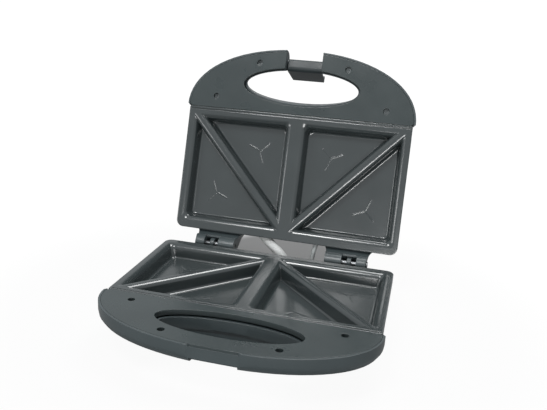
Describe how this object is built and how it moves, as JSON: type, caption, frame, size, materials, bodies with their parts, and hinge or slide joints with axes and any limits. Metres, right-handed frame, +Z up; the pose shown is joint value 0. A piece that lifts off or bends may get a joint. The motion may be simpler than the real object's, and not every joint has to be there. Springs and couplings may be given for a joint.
{
  "type": "sandwich toaster",
  "caption": "Hinged sandwich toaster with cast triangular-pocket plates, looped handles with finger holes, a folding front latch clip and tubular heaters inside.",
  "frame": {"origin": "middle of the bounding box, on the table under the feet, with the lid open", "axes": "+X across to the right as seen from the handles, +Y to the hinge at the back, +Z up"},
  "size_m": [0.2266, 0.2901, 0.225],
  "materials": {
    "moulding": "satin",
    "cover": "satin",
    "plate_coating": "satin",
    "heater_tube": "satin",
    "sheet_metal": "bright",
    "plated_steel": "bright",
    "thermostat_metal": "satin",
    "ceramic": "gloss",
    "clamp_plastic": "matt",
    "rubber": "matt",
    "neon_glass": "clear",
    "red_lens": "gloss",
    "green_lens": "gloss",
    "white_plastic": "satin",
    "glass_sleeve": "woven",
    "earth_wire": "woven"
  },
  "bodies": {
    "base": {"base_shell": "moulding", "base_handle_cover": "cover", "base_plate": "plate_coating", "base_heater": "heater_tube", "base_reflector": "sheet_metal", "base_reflector_screws": "plated_steel", "base_cover_screws": "plated_steel", "thermostat": "thermostat_metal", "thermal_fuse": "glass_sleeve", "terminal_block": "ceramic", "cord_clamp": "clamp_plastic", "cord_bush": "rubber", "rubber_feet": "rubber", "lead_sleeve": "glass_sleeve", "earth_lead": "earth_wire"},
    "lid": {"lid_shell": "moulding", "lid_handle_cover": "cover", "lid_plate": "plate_coating", "lid_heater": "heater_tube", "lid_reflector": "sheet_metal", "lid_reflector_screws": "plated_steel", "lid_cover_screws": "plated_steel", "hinge_pin_left": "plated_steel", "hinge_pin_right": "plated_steel", "lamp_holder": "white_plastic", "neon_lamps": "neon_glass", "power_lamp_lens": "red_lens", "ready_lamp_lens": "green_lens", "latch_pin": "plated_steel"},
    "latch": {"latch_clip": "moulding"}
  },
  "joints": [
    {"name": "lid_hinge", "type": "hinge", "parent": "base", "child": "lid", "pos_m": [0, 0.05292, 0.0365], "axis": [1, 0, 0], "range_deg": [0, 106.3], "deforming": ["lead_sleeve", "earth_lead"]},
    {"name": "latch_pivot", "type": "hinge", "parent": "lid", "child": "latch", "pos_m": [0, 0.12129, 0.21332], "axis": [1, 0, 0], "range_deg": [-206, 0]}
  ]
}
